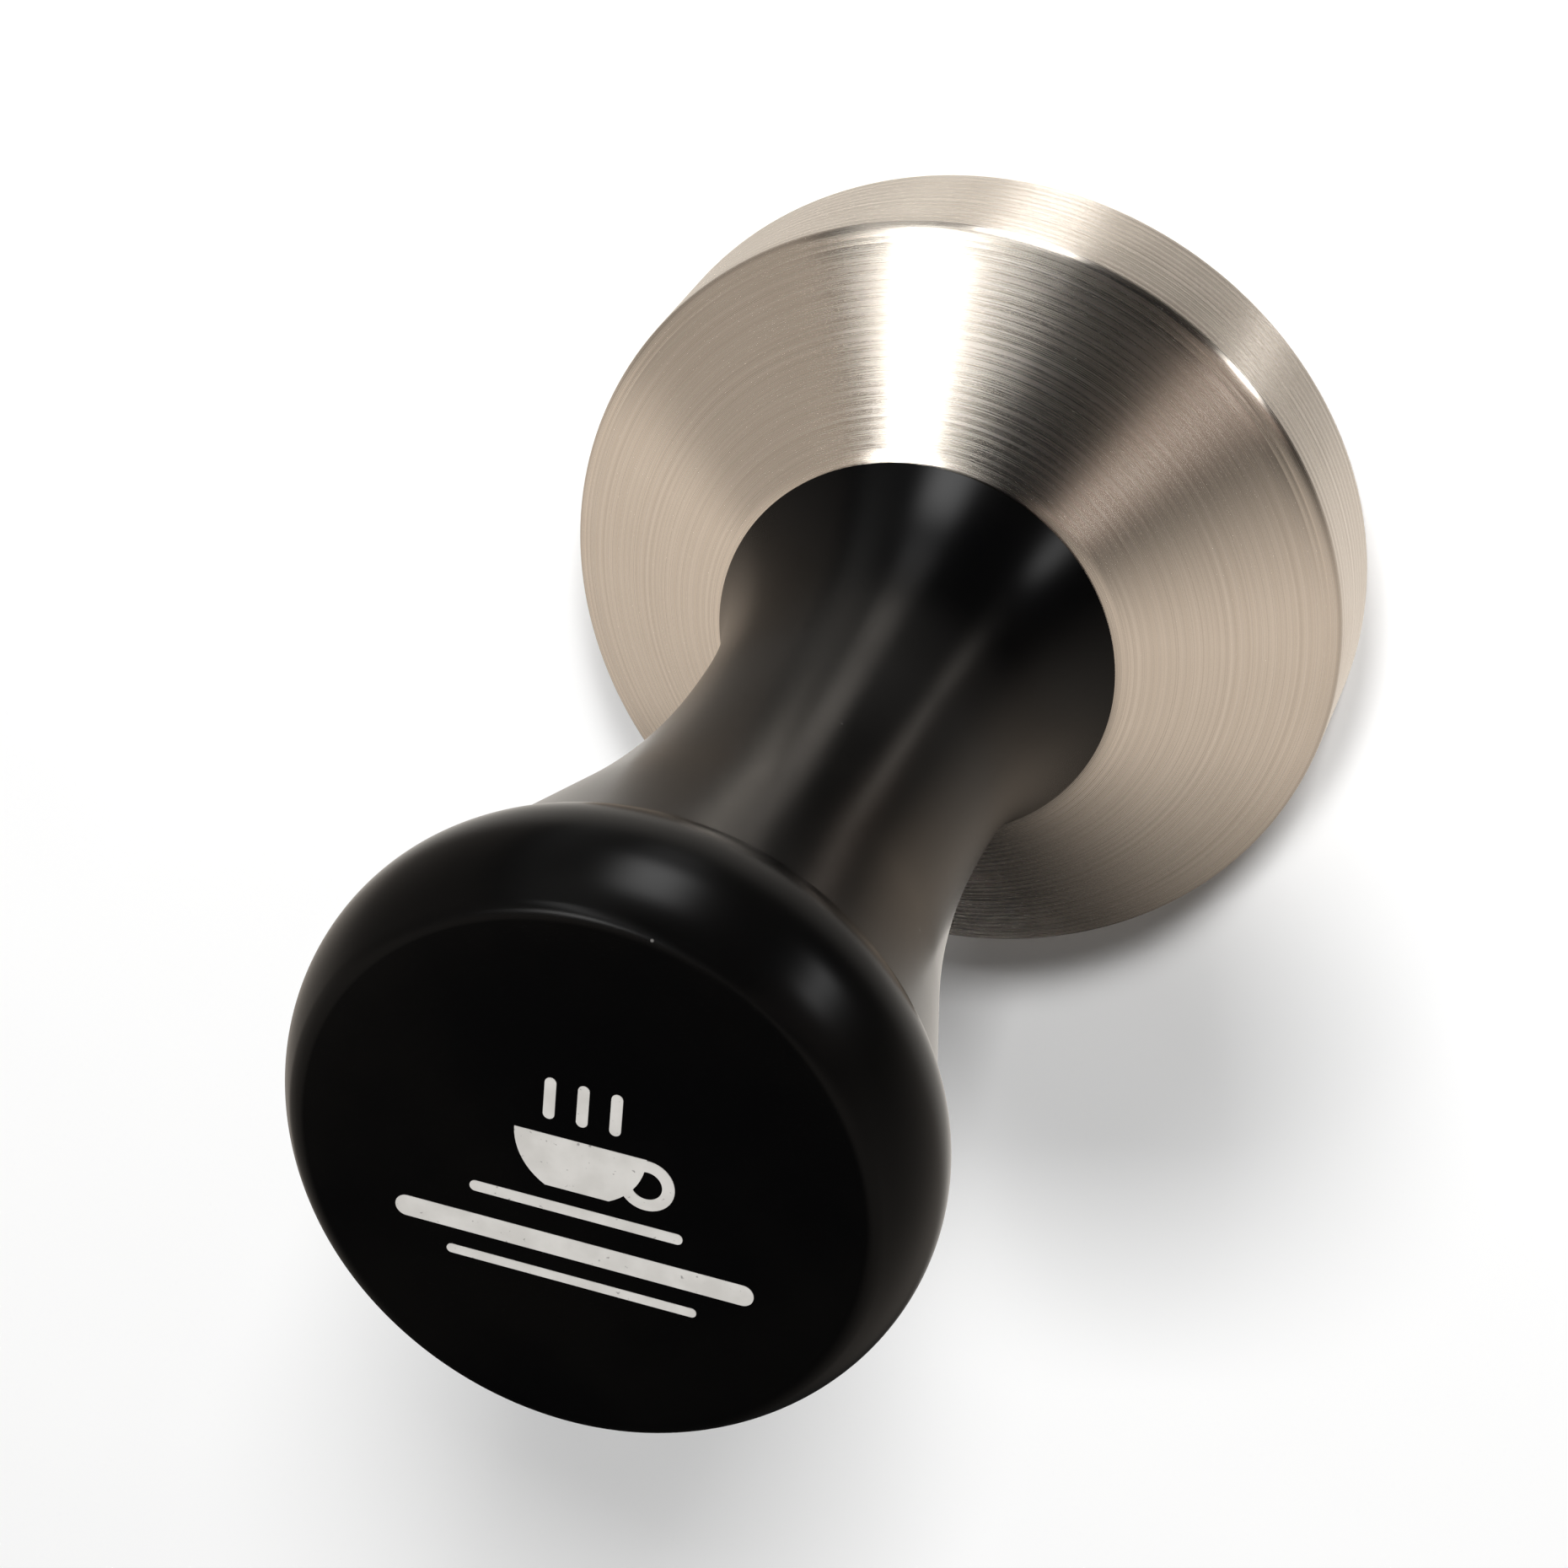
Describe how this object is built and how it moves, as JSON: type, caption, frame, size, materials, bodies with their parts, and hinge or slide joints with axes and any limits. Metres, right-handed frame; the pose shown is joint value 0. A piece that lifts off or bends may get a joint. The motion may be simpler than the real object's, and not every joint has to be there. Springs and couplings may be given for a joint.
{
  "type": "espresso tamper",
  "caption": "Round coffee tamper: a flat steel base with a conical back, and a black turned handle that screws onto it.",
  "frame": {"origin": "centre of the flat tamping face", "axes": "+Z along the handle's axis, from the tamping face up to the knob's flat top; +X to the right of the printed mark"},
  "size_m": [0.058, 0.058, 0.088],
  "materials": {
    "turned_steel": "fine turned stainless steel with circular tool lines",
    "black_anodised": "satin black anodised",
    "stud_steel": "zinc-plated screw thread",
    "washer_nylon": "natural nylon",
    "mark_ink": "pale grey screen-printed ink"
  },
  "bodies": {
    "base": {"tamper_base": "turned_steel"},
    "washer": {"washer": "washer_nylon"},
    "handle": {"handle": "black_anodised", "threaded_stud": "stud_steel", "printed_mark": "mark_ink"}
  },
  "joints": [
    {"name": "handle_rise", "type": "slide", "parent": "base", "child": "washer", "axis": [0, 0, 1], "range_m": [0, 0.01]},
    {"name": "handle_turn", "type": "hinge", "parent": "washer", "child": "handle", "pos_m": [0, 0, 0.019], "axis": [0, 0, 1], "range_deg": [0, 2880]}
  ],
  "couplings": [
    {"joint": "handle_turn", "follows": "handle_rise", "rad_per_m": 5026.5}
  ]
}
